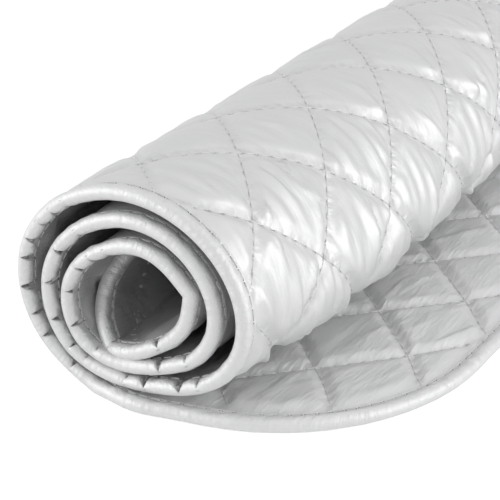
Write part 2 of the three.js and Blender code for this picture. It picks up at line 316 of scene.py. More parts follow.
def settleCloth(u, v, filling, held, slack, bend, start, seed):
    p = np.stack([u, v, start], -1).astype(np.float32)
    spare = 1 + settling["uneven"] * softNoise(u.shape, settling["unevenCells"], seed)
    spare = np.clip(spare, *settling["spare"])
    free = np.where(held, 0, 1).astype(np.float32)[..., None]
    restU = (np.diff(u, axis=0) * (1 + (slack[0] * spare)[1:]))[..., None].astype(np.float32)
    restV = (np.diff(v, axis=1) * (1 + (slack[1] * spare)[:, 1:]))[..., None].astype(np.float32)
    restD = np.hypot(restU[:, :-1], restV[:-1])

    def pull(a, b, rest):
        along = b - a
        length = np.sqrt((along * along).sum(-1, keepdims=True))
        return along * (0.5 * (length - rest) / length)

    def bent(q):
        out = np.zeros_like(q)
        out[1:-1] += q[:-2] + q[2:] - 2 * q[1:-1]
        out[:, 1:-1] += q[:, :-2] + q[:, 2:] - 2 * q[:, 1:-1]
        return out

    for _ in range(settling["rounds"]):
        move = np.zeros_like(p)
        for lower, upper, rest, share in (
            (np.s_[:-1], np.s_[1:], restU, 1),
            (np.s_[:, :-1], np.s_[:, 1:], restV, 1),
            (np.s_[:-1, :-1], np.s_[1:, 1:], restD, settling["shear"]),
            (np.s_[1:, :-1], np.s_[:-1, 1:], restD, settling["shear"]),
        ):
            drawn = pull(p[lower], p[upper], rest) * share
            move[lower] += drawn
            move[upper] -= drawn
        move = move * settling["spring"] - bend * bent(bent(p))
        move[..., 2] += settling["lift"] * (filling - p[..., 2])
        p += move * free
        p[..., 2] = np.maximum(p[..., 2], settling["floor"])
    return p.astype(float)


def seamLevel(u, v):
    inside = smooth(rimDistance(u, v), quilt["swellFrom"], quilt["swellTo"])
    return pad["inTape"] + (pad["atSeam"] - pad["inTape"]) * inside


def clothGrid(rows):
    return np.meshgrid(
        quilt["endMargin"] + rows * cell,
        quilt["sideShift"] + sideColumns * cell,
        indexing="ij",
    )


# Darts that the tape folds into on the inside of the roll's bends
darts = {
    "seeds": {-1: 11, 1: 12},  # of the near and the far side
    "after": 0.02,  # the first one, from where the pad leaves the table
    "spacing": (0.007, 0.017),
    "deep": (0.75, 1.50),  # shares of the edge's half thickness that a dart cuts into
    "least": 0.0006,
    "slopes": (0.9, 1.8, 3.4),  # a gentle wall lies between the first two, a steep one between the others
    "under": (-0.38, 0.42, 1.0),  # angle of the deepest ones, their reach and share of the depth
    "left": (1.50, 0.80, 0.85),
    "pillow": (0.0009, 0.0034),  # dip of the tape beside a dart, and its reach
    "dark": 0.0025,  # depth at which a dart's cloth gets the full painted shade
    "fade": (0.0062, 0.017),  # from the rim, where the darts end
    "fadeRise": 0.008,
    "away": 0.01,  # a level above all cloth
}


def dartPlaces(seed):
    rng = np.random.default_rng(seed)
    places = []
    u = pad["liftAt"] + darts["after"]
    while u < pad["length"] - pad["corner"]:
        weight = 0
        for middle, reach, share in (darts["under"], darts["left"]):
            away = (angleAt(u) - middle + math.pi) % fullTurn - math.pi
            weight = max(weight, share * math.exp(-(away / reach) ** 2))
        cut = pad["edgeHalf"] * weight * rng.uniform(*darts["deep"])
        gentle = rng.uniform(*darts["slopes"][:2])
        steep = rng.uniform(*darts["slopes"][1:])
        slopes = rng.permutation([gentle, steep])
        if cut > darts["least"]:
            places.append((u, pad["edgeHalf"] - cut, *slopes))
        u += rng.uniform(*darts["spacing"])
    return places


dartsOfSide = {side: dartPlaces(seed) for side, seed in darts["seeds"].items()}


def dartCeiling(u, inset, side):
    ceiling = np.full(np.broadcast(u, inset).shape, darts["away"])
    for at, bottom, before, after in dartsOfSide[side]:
        away = u - at
        wall = np.where(away < 0, -before * away, after * away)
        ceiling = np.minimum(ceiling, bottom + wall)
    return ceiling + darts["fadeRise"] * smooth(inset, *darts["fade"])


# Meshes
def addMesh(name, points, faces, uv, material, crease=None, seam=None):
    mesh = bpy.data.meshes.new(name)
    mesh.from_pydata(points.tolist(), [], faces)
    layer = mesh.uv_layers.new(name="flat")
    corners = np.zeros(len(mesh.loops), np.int32)
    mesh.loops.foreach_get("vertex_index", corners)
    layer.data.foreach_set("uv", uv[corners].astype(np.float32).ravel())
    # crease holds the painted shade of each point: cloth in darts, between the turns and at stitch holes
    if crease is not None:
        dusk = mesh.attributes.new("crease", "FLOAT", "POINT")
        dusk.data.foreach_set("value", crease.astype(np.float32))
    mesh.shade_smooth()
    if seam is not None:
        ends = np.zeros(2 * len(mesh.edges), np.int32)
        mesh.edges.foreach_get("vertices", ends)
        sharp = seam[ends.reshape(-1, 2)].all(1)
        mesh.attributes.new("sharp_edge", "BOOLEAN", "EDGE").data.foreach_set("value", sharp)
    mesh.materials.append(material)
    piece = bpy.data.objects.new(name, mesh)
    bpy.context.scene.collection.objects.link(piece)
    return piece


def gridFaces(rows, columns):
    ids = np.arange(rows * columns).reshape(rows, columns)
    quads = np.stack([ids[:-1, :-1], ids[1:, :-1], ids[1:, 1:], ids[:-1, 1:]], -1)
    return quads.reshape(-1, 4)


def coverPiece(name, u, v, points, side, material, crease=None):
    quads = gridFaces(*u.shape)
    inside = rimDistance(u, v).ravel() > quilt["coverEdge"]
    quads = quads[inside[quads].all(1)]
    if side > 0:
        quads = quads[:, ::-1]
    used = np.unique(quads)
    order = np.zeros(u.size, int)
    order[used] = np.arange(len(used))
    flat = np.stack([u.ravel(), v.ravel()], -1)
    crease = None if crease is None else crease.ravel()[used]
    seam = onSeam(u, v).ravel()
    faces = []
    for a, b, c, d in quads.tolist():  # a face that a seam crosses is cut along it
        if seam[a] and seam[c]:
            faces += [[a, b, c], [a, c, d]]
        elif seam[b] and seam[d]:
            faces += [[a, b, d], [b, c, d]]
        else:
            faces.append([a, b, c, d])
    faces = [[order[corner] for corner in face] for face in faces]
    return addMesh(name, points.reshape(-1, 3)[used], faces, flat[used], material, crease, seam[used])


# Finishes: a Wire is a socket's value in an expression, a Finish the material or world around it
paintedShadeColour = (0.07, 0.07, 0.075, 1)  # painted shade: the colour towards which cloth deep between the turns, in darts and at stitch holes is darkened


class Wire:
    def __init__(self, finish, socket):
        self.finish = finish
        self.socket = socket

    def math(self, operation, a, b):
        return self.finish.node("ShaderNodeMath", {"operation": operation}, {0: a, 1: b})

    def __add__(self, other):
        return self.math("ADD", self, other)

    def __radd__(self, other):
        return self.math("ADD", other, self)

    def __sub__(self, other):
        return self.math("SUBTRACT", self, other)

    def __rsub__(self, other):
        return self.math("SUBTRACT", other, self)

    def __mul__(self, other):
        return self.math("MULTIPLY", self, other)

    def __rmul__(self, other):
        return self.math("MULTIPLY", other, self)

    def __abs__(self):
        return self.math("ABSOLUTE", self, 0)

    def fract(self):
        return self.math("FRACT", self, 0)


class Finish:
    def __init__(self, owner, shader, fixed):
        owner.use_nodes = True
        self.owner = owner
        self.tree = owner.node_tree
        self.surface = self.tree.nodes[shader]
        for socket, value in fixed.items():
            self.surface.inputs[socket].default_value = value

    def node(self, kind, settings, inputs, output=0):
        made = self.tree.nodes.new(kind)
        for key, value in settings.items():
            setattr(made, key, value)
        for key, value in inputs.items():
            self.join(made.inputs[key], value)
        return Wire(self, made.outputs[output])

    def join(self, socket, value):
        if isinstance(value, Wire):
            self.tree.links.new(value.socket, socket)
        else:
            socket.default_value = value

    def shade(self, **wires):
        for name, value in wires.items():
            self.join(self.surface.inputs[name.replace("_", " ")], value)

    def flat(self, scaleU, scaleV):
        uv = self.node("ShaderNodeUVMap", {"uv_map": "flat"}, {})
        return self.node("ShaderNodeMapping", {}, {"Vector": uv, "Scale": (scaleU, scaleV, 1)})

    def noise(self, vector, scale, detail=2.0, rough=0.5):
        inputs = {"Vector": vector, "Scale": scale, "Detail": detail, "Roughness": rough}
        return self.node("ShaderNodeTexNoise", {}, inputs)

    def object(self):
        return self.node("ShaderNodeTexCoord", {}, {}, "Object")

    def mixed(self, factor, a, b):
        inputs = {"Factor": factor, "A": (*a, 1), "B": (*b, 1)}
        return self.node("ShaderNodeMix", {"data_type": "RGBA"}, inputs, 2)

    # painted shade: mixes the colour towards the shade colour by the crease attribute, which holds painted
    # shade in darts, between the turns and at stitch holes
    def withPaintedShade(self, colour):
        crease = self.node("ShaderNodeAttribute", {"attribute_name": "crease"}, {}, "Fac")
        inputs = {"Factor": crease, "A": colour, "B": paintedShadeColour}
        return self.node("ShaderNodeMix", {"data_type": "RGBA"}, inputs, 2)

    def ramp(self, value, low, high):
        inputs = {"Value": value, "From Min": low, "From Max": high}
        return self.node("ShaderNodeMapRange", {"interpolation_type": "SMOOTHSTEP"}, inputs)

    # short gathers across the seams, where the thread draws the cloth in
    def seamGathers(self, reach):
        uv = self.node("ShaderNodeUVMap", {"uv_map": "flat"}, {})
        parts = [self.node("ShaderNodeSeparateXYZ", {}, {0: uv}, axis) for axis in (0, 1)]
        along = (parts[0] - quilt["endMargin"]) * (1 / quilt["diagonal"])
        across = (parts[1] - quilt["sideShift"]) * (1 / quilt["diagonal"])
        gathers = 0
        wide, long = quilt["gatherLines"]
        for a, b in ((along + across, along - across), (along - across, along + across)):
            near = self.ramp(abs(a.fract() - 0.5), 0.5 - reach * math.sqrt(2) / quilt["diagonal"], 0.5)
            lines = self.node("ShaderNodeCombineXYZ", {}, {0: wide * a, 1: long * b})
            gathers = gathers + near * self.noise(lines, 1.0, 2.0)
        return gathers

    # 1 where the camera or a reflection looks, 0 for the light that falls on the object
    def seen(self):
        rays = ("Is Camera Ray", "Is Glossy Ray", "Is Transmission Ray")
        camera, glossy, clear = (self.node("ShaderNodeLightPath", {}, {}, ray) for ray in rays)
        return camera + glossy + clear

    def bump(self, height, strength, distance):
        inputs = {"Height": height, "Strength": strength, "Distance": distance}
        return self.node("ShaderNodeBump", {}, inputs)


def newFinish(name, fixed):
    return Finish(bpy.data.materials.new(name), "Principled BSDF", fixed)


# Noise scales are per metre, and rough is the least roughness with what cloud and grain add
grainScale = 1500
silverLook = {
    "metal": 0.45,
    "gloss": 0.45,
    "colours": ((0.71, 0.715, 0.72), (0.77, 0.77, 0.77)),
    "cloud": 26,
    "rough": (0.42, 0.10, 0.06),
    "creases": (50, 190),  # along and across the pad
    "creaseDetail": (2.0, 0.5),
    "bump": (1.1, 0.15, 2),  # shares of creases, grain and gathers
    "gathers": 0.0035,  # their reach from a seam
    "bumpDepth": (0.6, 0.0007),
    "dusk": False,
}
greyLook = {
    "metal": 0.55,
    "gloss": 0.25,
    "colours": ((0.70, 0.705, 0.71), (0.77, 0.77, 0.77)),
    "cloud": 26,
    "rough": (0.44, 0.12, 0.06),
    "creases": (330, 70),
    "creaseDetail": (3.0, 0.55),
    "bump": (1.6, 0.15, 1),
    "gathers": 0.004,
    "bumpDepth": (0.6, 0.0007),
    "dusk": True,
}
tapeLook = {
    "metal": 0.40,
    "gloss": 0.35,
    "colours": ((0.74, 0.745, 0.75), (0.81, 0.81, 0.81)),
    "cloud": 60,
    "rough": (0.46, 0.12),
    "creases": (260, 110),
    "creaseDetail": (3.0, 0.55),
    "grain": 0.2,
    "bumpDepth": (0.8, 0.0012),
}
fibreLook = {
    "gloss": 0.2,
    "colours": ((0.78, 0.77, 0.74), (0.90, 0.89, 0.87)),
    "fluff": 700,
    "rough": (0.9, 0.1),
    "bumpDepth": (0.6, 0.001),
}
quiltThreadLook = {
    "metal": 0.45,
    "gloss": 0.4,
    "colours": ((0.68, 0.68, 0.68), (0.78, 0.78, 0.78)),
    "ply": 4000,
    "rough": (0.45, 0.2),
}
bindThreadLook = {
    "metal": 0,
    "gloss": 0.3,
    "colours": ((0.66, 0.66, 0.66), (0.76, 0.76, 0.76)),
    "ply": 4000,
    "rough": (0.6, 0.2),
}


def coatedCloth(name, look):
    finish = newFinish(name, {"Metallic": look["metal"], "Specular IOR Level": look["gloss"]})
    crease = finish.noise(finish.flat(*look["creases"]), 1.0, *look["creaseDetail"])
    grain = finish.noise(finish.object(), grainScale, 2.0)
    cloud = finish.noise(finish.object(), look["cloud"], 3.0)
    colour = finish.mixed(cloud, *look["colours"])
    least, cloudShare, grainShare = look["rough"]
    creased, grained, gathered = look["bump"]
    height = creased * abs(crease - 0.5) + grained * grain + gathered * finish.seamGathers(look["gathers"])
    # base colour darkened by painted shade, where the look takes it
    finish.shade(
        Base_Color=finish.withPaintedShade(colour) if look["dusk"] else colour,
        Roughness=least + cloudShare * cloud + grainShare * grain,
        Normal=finish.bump(height, *look["bumpDepth"]),
    )
    return finish.owner


def tapeCloth(name, look):
    finish = newFinish(name, {"Metallic": look["metal"], "Specular IOR Level": look["gloss"]})
    grain = finish.noise(finish.object(), grainScale, 2.0)
    cloud = finish.noise(finish.object(), look["cloud"], 3.0)
    crease = finish.noise(finish.flat(*look["creases"]), 1.0, *look["creaseDetail"])
    least, cloudShare = look["rough"]
    # base colour darkened by painted shade in the darts
    finish.shade(
        Base_Color=finish.withPaintedShade(finish.mixed(cloud, *look["colours"])),
        Roughness=least + cloudShare * cloud,
        Normal=finish.bump(look["grain"] * grain + crease, *look["bumpDepth"]),
    )
    return finish.owner


def threadFinish(name, look):
    finish = newFinish(name, {"Metallic": look["metal"], "Specular IOR Level": look["gloss"]})
    ply = finish.noise(finish.object(), look["ply"], 1.0)
    least, plyShare = look["rough"]
    # base colour darkened by painted shade at the stitch holes
    finish.shade(
        Base_Color=finish.withPaintedShade(finish.mixed(ply, *look["colours"])),
        Roughness=least + plyShare * ply,
    )
    return finish.owner


def fibreFinish(name, look):
    finish = newFinish(name, {"Specular IOR Level": look["gloss"]})
    fluff = finish.noise(finish.object(), look["fluff"], 4.0)
    least, fluffShare = look["rough"]
    finish.shade(
        Base_Color=finish.mixed(fluff, *look["colours"]),
        Roughness=least + fluffShare * fluff,
        Normal=finish.bump(fluff, *look["bumpDepth"]),
    )
    return finish.owner


silver = coatedCloth("silverCloth", silverLook)
grey = coatedCloth("greyCloth", greyLook)
tapeFinish = tapeCloth("tapeCloth", tapeLook)
quiltThread = threadFinish("quiltingThread", quiltThreadLook)
bindThread = threadFinish("bindingThread", bindThreadLook)
fibre = fibreFinish("waddingFibre", fibreLook)
print("finishes made")

# Stretches of the pad: each body's rows of cloth, and the body that it bends away from
stretches = {
    "free_end_tip": {"rows": (-1, foldRows[0]), "from": "free_end_middle"},
    "free_end_middle": {"rows": (foldRows[0], foldRows[1]), "from": "free_end_root_side"},
    "free_end_root_side": {"rows": (foldRows[1], foldRows[2]), "from": "roll"},
    "roll": {"rows": (foldRows[2], lastRow), "from": None},
}


def carry(piece, body):
    bendsFrom = stretches[body]["from"]
    if bendsFrom is None:
        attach(piece, body)
        return
    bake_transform(piece)


# Wadding between the covers
wadding = {
    "atSeam": 0.0004,
    "rise": 0.0008,
    "stride": 4,  # cells of the covers to one of the wadding
    "edge": 0.0030,  # the wadding stops this far inside the rim
    "underDart": 0.0006,
    "least": 0.0002,
}

# Covers
outerCover = {
    "hidden": (fullTurn - 0.8, fullTurn - 0.5),  # angles over which the outer turn goes in under the roll
    "fineTo": int((lengthAt(fullTurn - 0.5) - quilt["endMargin"]) / cell),  # last row of fine cloth
    "shownFrom": 0.02,  # from where the pad leaves the table
    "right": (0.9 * math.pi, 1.3 * math.pi),  # angles over which the fuller right side begins
    "low": (1.35 * math.pi, 1.65 * math.pi),
    "rise": 0.0030,  # crowns above the seams on the turn that shows
    "lowRise": 0.0034,  # and low on the right, beside the free end
    "topRise": 0.0019,  # and over its left side and top
    "tuckedRise": 0.0018,  # and where the turns lie on each other
    "plainRise": 0.8,  # share of that inside the roll, in plain cloth
    "plainStride": 8,  # fine cells to one of plain cloth
    "undersideRise": 0.0020,
    "undersideStride": 2,
    "slack": (0.014, 0.085),  # along and across the pad
    "topSlack": 0.030,
    "startCells": (6, 1),  # shape of the wrinkles before the cloth settles
    "bend": 0.007,
    "groove": 0.0021,
    "topGroove": 0.0013,
    "topFolds": 0.15,  # share of the folds' height over the left side and top
    "pucker": 0.00020,
    "seed": 4,
}
innerCover = {
    "fineTo": 6 * quilt["cells"],
    "rise": 0.0026,
    "plainRise": 0.7,
    "plainStride": 3,
    "overWadding": 0.0007,
    "underTape": 0.0002,
    "slack": (0.050, 0.020),
    "startCells": (2, 6),
    "bend": 0.005,
    "pucker": 0.00016,
    "wrinkle": 0.0007,  # crumples of the plain cloth
    "wrinkleCells": (1, 5),
    "dusk": 0.33,  # painted shade: how much darker the cloth is painted between the turns, away from the sides
    "duskFrom": (0.002, 0.011),
    "duskAlong": (0.010, 0.100),  # from where the pad leaves the table
    "seed": 7,
}


# Folds in the covers, each with a steep and a gentle side
innerFolds = {
    "count": 180,
    "upTo": quilt["endMargin"] + innerCover["fineTo"] * cell,  # along the pad
    "reach": (0.008, 0.022),
    "lean": (2, 34),  # degrees from the roll's axis
    "height": (0.0004, 0.0013),
    "turned": 0,  # share of folds with the steep side the other way
    "steep": 0.0007,
    "gentle": 0.0036,
    "seed": 21,
}
outerFolds = {
    "count": 420,
    "upTo": lengthAt(fullTurn - 0.2),
    "reach": (0.007, 0.018),
    "lean": (64, 108),
    "height": (0.0008, 0.0024),
    "turned": 0.25,
    "steep": 0.0006,
    "gentle": 0.0034,
    "seed": 22,
}
foldWobble = {"swing": 0.0010, "length": 0.0055, "shift": 6}  # how a fold wavers along its line
foldFromSeam = (0.0008, 0.0050)  # distance from a seam over which it rises


def clothFolds(u, v, folds):
    rng = np.random.default_rng(folds["seed"])
    height = np.zeros(u.shape)
    for _ in range(folds["count"]):
        atU = rng.uniform(u.min(), folds["upTo"])
        atV = rng.uniform(v.min(), v.max())
        lean = math.radians(rng.uniform(*folds["lean"]))
        reach = rng.uniform(*folds["reach"])
        tall = rng.uniform(*folds["height"])
        along = (v - atV) * math.cos(lean) - (u - atU) * math.sin(lean)
        across = (u - atU) * math.cos(lean) + (v - atV) * math.sin(lean)
        shift = rng.uniform(0, foldWobble["shift"])
        across = across + foldWobble["swing"] * np.sin(along / foldWobble["length"] + shift)
        if rng.uniform() < folds["turned"]:
            across = -across
        ridge = np.exp(np.where(across > 0, -across / folds["steep"], across / folds["gentle"]))
        height = np.maximum(height, tall * ridge * np.exp(-(along / reach) ** 2))
    return height * smooth(np.minimum(*seamDistances(u, v)), *foldFromSeam)


def wrinkleStart(u, v, filling, held, cells, seed):
    start = settling["startShare"] * filling
    start = start + settling["startNoise"] * softNoise(filling.shape, cells, seed)
    inTape = rimDistance(u, v) < quilt["swellFrom"]
    return np.where(held, np.where(inTape, 0, seamBeads(u)), start)


def makeOuterCover():
    fineRows = np.arange(foldRows[2], outerCover["fineTo"] + 1)
    u, v = clothGrid(fineRows)
    shown = 1 - smooth(angleAt(u), *outerCover["hidden"])
    shown *= smooth(u, pad["liftAt"], pad["liftAt"] + outerCover["shownFrom"])
    full = smooth(angleAt(u), *outerCover["right"])
    rise = outerCover["topRise"] + (outerCover["rise"] - outerCover["topRise"]) * full
    low = smooth(angleAt(u), *outerCover["low"])
    rise = rise + (outerCover["lowRise"] - outerCover["rise"]) * low
    rise = outerCover["tuckedRise"] + (rise - outerCover["tuckedRise"]) * shown
    swell = smooth(rimDistance(u, v), quilt["swellFrom"], quilt["swellTo"])
    uneven = softNoise(u.shape, quilt["unevenCells"], outerCover["seed"] + 3)
    groove = outerCover["topGroove"] + (outerCover["groove"] - outerCover["topGroove"]) * full
    filling = rise * puff(u, v, uneven, groove) * swell * diamondFilling(u, v, outerCover["seed"])
    held = onSeam(u, v) | (rimDistance(u, v) < quilt["swellFrom"])
    start = wrinkleStart(u, v, filling, held, outerCover["startCells"], outerCover["seed"])
    slack = outerCover["topSlack"] + (outerCover["slack"][1] - outerCover["topSlack"]) * full
    slack = (np.full(u.shape, outerCover["slack"][0]), slack)
    settled = settleCloth(u, v, filling, held, slack, outerCover["bend"], start, outerCover["seed"] + 2)
    height = seamLevel(u, v) + settled[..., 2]
    height = height + outerCover["pucker"] * puckers(u, v, outerCover["seed"] + 1)
    foldShare = outerCover["topFolds"] + (1 - outerCover["topFolds"]) * full
    height = height + clothFolds(u, v, outerFolds) * swell * shown * foldShare
    height = np.where(u < pad["liftAt"], np.minimum(height, pad["edgeHalf"] - pad["tableGap"]), height)
    turn = place(settled[..., 0], settled[..., 1], -height)

    # plain cloth on the turns inside the roll
    plainRows = np.arange(outerCover["fineTo"], lastRow + 1, outerCover["plainStride"])
    u2, v2 = clothGrid(plainRows)
    swell2 = smooth(rimDistance(u2, v2), quilt["swellFrom"], quilt["swellTo"])
    rise2 = outerCover["tuckedRise"] * outerCover["plainRise"]
    plain = place(u2, v2, -(seamLevel(u2, v2) + rise2 * puff(u2, v2) * swell2))
    points = np.concatenate([turn, plain[1:]])
    points[..., 2] = np.maximum(points[..., 2], pad["tableGap"])
    return np.concatenate([u, u2[1:]]), np.concatenate([v, v2[1:]]), points


def makeUnderside(rows):
    u, v = clothGrid(rows)
    swell = smooth(rimDistance(u, v), quilt["swellFrom"], quilt["swellTo"])
    height = seamLevel(u, v) + outerCover["undersideRise"] * puff(u, v) * swell
    return u, v, place(u, v, -np.minimum(height, pad["edgeHalf"] - pad["tableGap"]))


def makeInnerCover():
    fineRows = np.arange(-1, innerCover["fineTo"] + 1)
    u, v = clothGrid(fineRows)
    swell = smooth(rimDistance(u, v), quilt["swellFrom"], quilt["swellTo"])
    uneven = softNoise(u.shape, quilt["unevenCells"], innerCover["seed"] + 3)
    filling = innerCover["rise"] * puff(u, v, uneven) * swell * diamondFilling(u, v, innerCover["seed"])
    held = onSeam(u, v) | (rimDistance(u, v) < quilt["swellFrom"])
    start = wrinkleStart(u, v, filling, held, innerCover["startCells"], innerCover["seed"])
    slack = [np.full(u.shape, share) for share in innerCover["slack"]]
    settled = settleCloth(u, v, filling, held, slack, innerCover["bend"], start, innerCover["seed"] + 2)
    height = seamLevel(u, v) + settled[..., 2]
    height = height + innerCover["pucker"] * puckers(u, v, innerCover["seed"] + 1)
    height = height + clothFolds(u, v, innerFolds) * swell
    flat = np.stack([settled[..., 0], settled[..., 1], height], -1)

    # plain cloth past the stretch that shows
    plainRows = np.arange(innerCover["fineTo"], lastRow + 1, innerCover["plainStride"])
    u2, v2 = clothGrid(plainRows)
    swell2 = smooth(rimDistance(u2, v2), quilt["swellFrom"], quilt["swellTo"])
    crumple = innerCover["wrinkle"] * softNoise(u2.shape, innerCover["wrinkleCells"], innerCover["seed"] + 1)
    rise2 = innerCover["plainRise"] * innerCover["rise"]
    height = seamLevel(u2, v2) + (rise2 * puff(u2, v2) + crumple) * swell2
    height = np.maximum(height, innerCover["overWadding"] + wadding["rise"] * puff(u2, v2))
    plain = np.stack([u2, v2, height], -1)
    flat = np.concatenate([flat, plain[1:]])
    uAll = np.concatenate([u, u2[1:]])
    vAll = np.concatenate([v, v2[1:]])
    # the darts draw it in along the sides; the cloth gets painted shade in the darts and between the turns
    whole = flat[..., 2].copy()
    for side in (-1, 1):
        inset = pad["width"] / 2 - side * vAll
        ceiling = dartCeiling(uAll, inset, side) - innerCover["underTape"]
        flat[..., 2] = np.minimum(flat[..., 2], ceiling)
    # painted shade in the darts, by how far they draw the cloth in
    crease = np.clip((whole - flat[..., 2]) / darts["dark"], 0, 1)
    dusk = innerCover["dusk"] * smooth(rimDistance(uAll, vAll), *innerCover["duskFrom"])
    crease = np.maximum(crease, dusk * smooth(uAll - pad["liftAt"], *innerCover["duskAlong"]))
    return uAll, vAll, place(flat[..., 0], flat[..., 1], flat[..., 2]), crease


covers = {}
u, v, points = makeOuterCover()
covers["roll_outer_cover"] = coverPiece("roll_outer_cover_cloth", u, v, points, -1, silver)
print("outer cover settled:", len(covers["roll_outer_cover"].data.polygons), "faces")

u, v, points, crease = makeInnerCover()
rowOfU = np.round((u[:, 0] - quilt["endMargin"]) / cell).astype(int)
for body, stretch in stretches.items():
    first, last = stretch["rows"]
    chosen = (rowOfU >= first) & (rowOfU <= last)
    name = body + "_inner_cover"
    cloth = (u[chosen], v[chosen], points[chosen])
    covers[name] = coverPiece(name + "_cloth", *cloth, 1, grey, crease[chosen])
    if body != "roll":
        rows = np.arange(max(first, 0), last + 1, outerCover["undersideStride"])
        rows = np.unique(np.concatenate([[first], rows]))
        name = body + "_outer_cover"
        covers[name] = coverPiece(name + "_cloth", *makeUnderside(rows), -1, silver)
print("inner cover settled:", len(covers["roll_inner_cover"].data.polygons), "faces")


def makeWadding(body):
    first, last = stretches[body]["rows"]
    rows = np.arange(max(first, 0), last, wadding["stride"])
    rows = np.unique(np.concatenate([[first], rows, [last]]))
    u, v = np.meshgrid(
        quilt["endMargin"] + rows * cell,
        quilt["sideShift"] + sideColumns[1::wadding["stride"]] * cell,
        indexing="ij",
    )
    level = wadding["atSeam"] + wadding["rise"] * puff(u, v)
    top = level.copy()
    for side in (-1, 1):
        inset = pad["width"] / 2 - side * v
        top = np.minimum(top, dartCeiling(u, inset, side) - wadding["underDart"])
    bottom = np.minimum(-level, top - wadding["least"])
    inside = rimDistance(u, v).ravel() > wadding["edge"]
    quads = gridFaces(*u.shape)
    quads = quads[inside[quads].all(1)]
    flat = np.stack([u.ravel(), v.ravel()], -1)
    points = np.concatenate([place(u, v, h).reshape(-1, 3) for h in (bottom, top)])
    faces = np.concatenate([quads, quads[:, ::-1] + u.size]).tolist()
    piece = addMesh(body + "_wadding_fibre", points, faces, np.concatenate([flat, flat]), fibre)
    work = bmesh.new()
    work.from_mesh(piece.data)
    loose = [vert for vert in work.verts if not vert.link_faces]
    bmesh.ops.delete(work, geom=loose, context="VERTS")
    bmesh.ops.bridge_loops(work, edges=[edge for edge in work.edges if edge.is_boundary])
    bmesh.ops.recalc_face_normals(work, faces=work.faces)
    work.to_mesh(piece.data)
    work.free()
    return piece


waddings = {body: makeWadding(body) for body in stretches}
print("wadding filled")

# Edge tape: a folded section carried along the rim
tape = {
    "step": 0.0009,  # between the sections on the free end
    "rollStep": 0.0012,  # and on the roll
    "atDart": (-0.0015, -0.0008, -0.0004, 0, 0.0004, 0.0008, 0.0015),  # more of them across a dart
    "cornerStep": 0.02,  # radians
    "afterFold": 0.06,  # radians from a fold line to the first section in a corner
    "slot": (0.0009, 0.0021),  # slot that takes the covers' edges: distance from the rim, level
    "ripple": 0.00012,
    "ripples": [(0.0011, 0, 1), (0.00173, 1, 1), (0.0031, 2, 0.8)],  # length, shift, share
    "rippleFrom": (0.001, 0.004),  # from the rim
    "rippleCalm": (0.7, 0.0058, 0.0065),  # how much calmer at the sewn edge, and where
    "face": [  # distance from the rim and level, from the sewn edge to the round
        (0.00645, 0.00205),
        (0.00658, 0.00222),
        (0.00635, 0.00238),
        (0.00595, 0.00228),
        (0.00550, 0.00205),
        (0.00505, 0.00222),
        (0.00450, 0.00252),
        (0.00370, 0.00280),
        (0.00290, 0.00290),
    ],
    "roundSteps": 6,
    "stitchInset": 0.0055,
    "stitchPitch": 0.0050,
    "stitchLevel": 0.00222,
    "linePoints": (200, 4000),  # points of the line of stitches in a corner and along a side
}


def tapeSection():
    half = pad["edgeHalf"]
    arc = [math.pi / 2 * i / tape["roundSteps"] for i in range(1, tape["roundSteps"] + 1)]
    upper = tape["face"] + [(half - half * math.sin(a), half * math.cos(a)) for a in arc]
    lower = [(inset, -level) for inset, level in reversed(upper[:-1])]
    inset, level = tape["slot"]
    return np.array(upper + lower + [(inset, -level), (inset, level)])


section = tapeSection()


def acrossStations(uValues, side):
    u = np.repeat(np.asarray(uValues)[:, None], len(section), 1)
    return np.stack([u, side * halfWidth(u, section[None, :, 0])], -1)


def cornerStations(turns, end, side):
    reach = pad["corner"] - section[None, :, 0]
    turn = np.asarray(turns)[:, None]
    along = pad["length"] / 2 - pad["corner"] + reach * np.sin(turn)
    across = pad["width"] / 2 - pad["corner"] + reach * np.cos(turn)
    return np.stack([pad["length"] / 2 + end * along, side * across], -1)


def endStations(end):
    count = int((pad["width"] - 2 * pad["corner"]) / tape["step"] / 2)
    reach = pad["width"] / 2 - pad["corner"]
    v = np.linspace(reach, -reach, count)[1:-1, None]
    inset = np.broadcast_to(section[None, :, 0], (len(v), len(section)))
    u = inset if end < 0 else pad["length"] - inset
    return np.stack([u, np.broadcast_to(v, u.shape)], -1)


def tapeRipple(u, v, inset):
    ripple = sum(share * np.sin((u + v) / length + shift) for length, shift, share in tape["ripples"])
    calmer, calmFrom, calmTo = tape["rippleCalm"]
    ripple = tape["ripple"] * ripple * smooth(inset, *tape["rippleFrom"])
    return ripple * (1 - calmer * smooth(inset, calmFrom, calmTo))


def tapePillow(u, side):
    dip, reach = darts["pillow"]
    places = np.array([at for at, *_ in dartsOfSide[side]])
    nearest = np.abs(u[..., None] - places).min(-1)
    return dip * np.exp(-nearest / reach)


def onSide(u, v, side):
    return (side * v > 0) & (u < pad["length"] - pad["corner"])


def underDarts(u, v, inset, level):
    for side in (-1, 1):
        level = np.where(onSide(u, v, side), np.minimum(level, dartCeiling(u, inset, side)), level)
    return level


